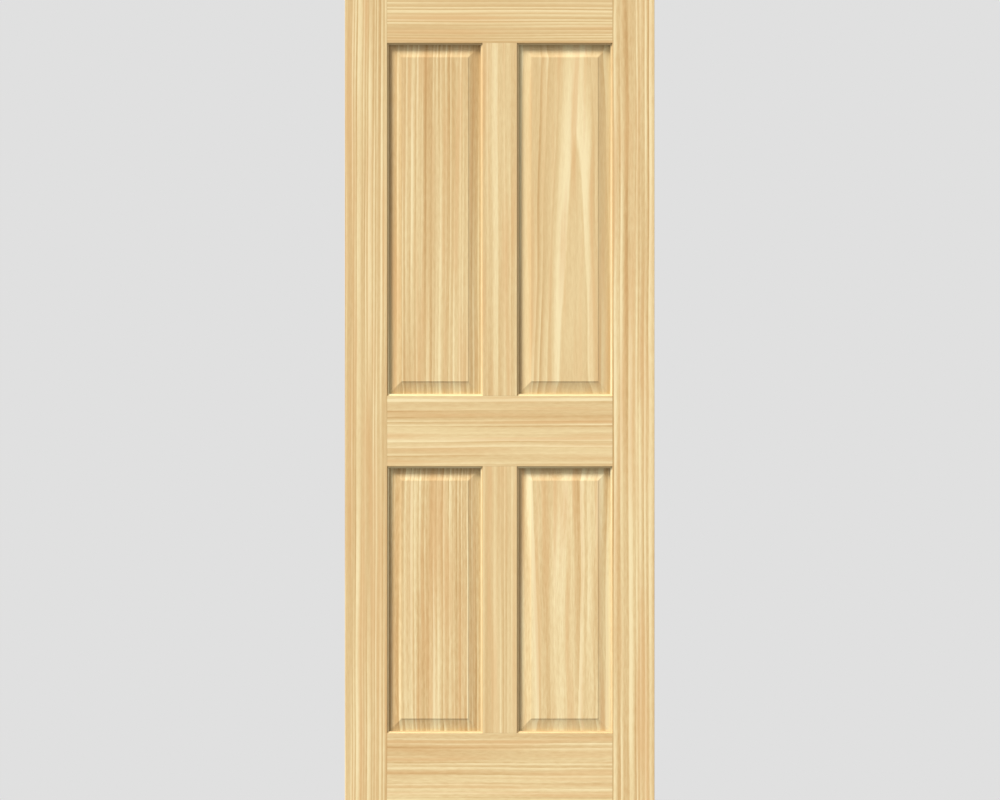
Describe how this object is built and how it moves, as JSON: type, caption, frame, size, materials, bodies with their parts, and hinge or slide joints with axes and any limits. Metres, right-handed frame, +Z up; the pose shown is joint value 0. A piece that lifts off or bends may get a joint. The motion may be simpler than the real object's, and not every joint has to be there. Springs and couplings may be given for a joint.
{
  "type": "four-panel interior door",
  "caption": "Upright pine interior door leaf: grooved stiles, rails and muntins, coped and dowelled round raised and fielded panels, to be hung by a long edge.",
  "frame": {"origin": "middle of the bottom edge, halfway through the thickness", "axes": "+X across the leaf towards the lock edge, +Y through it away from the front face, +Z up"},
  "size_m": [0.762, 0.035, 1.981],
  "materials": {
    "pine": "matte",
    "beech": "matte"
  },
  "bodies": {
    "root": {"left_stile": "pine", "right_stile": "pine", "top_rail": "pine", "lock_rail": "pine", "bottom_rail": "pine", "upper_muntin": "pine", "lower_muntin": "pine", "upper_left_panel": "pine", "upper_right_panel": "pine", "lower_left_panel": "pine", "lower_right_panel": "pine", "top_rail_left_dowels": "beech", "top_rail_right_dowels": "beech", "lock_rail_left_dowels": "beech", "lock_rail_right_dowels": "beech", "bottom_rail_left_dowels": "beech", "bottom_rail_right_dowels": "beech", "upper_muntin_head_dowels": "beech", "upper_muntin_foot_dowels": "beech", "lower_muntin_head_dowels": "beech", "lower_muntin_foot_dowels": "beech"}
  },
  "joints": []
}
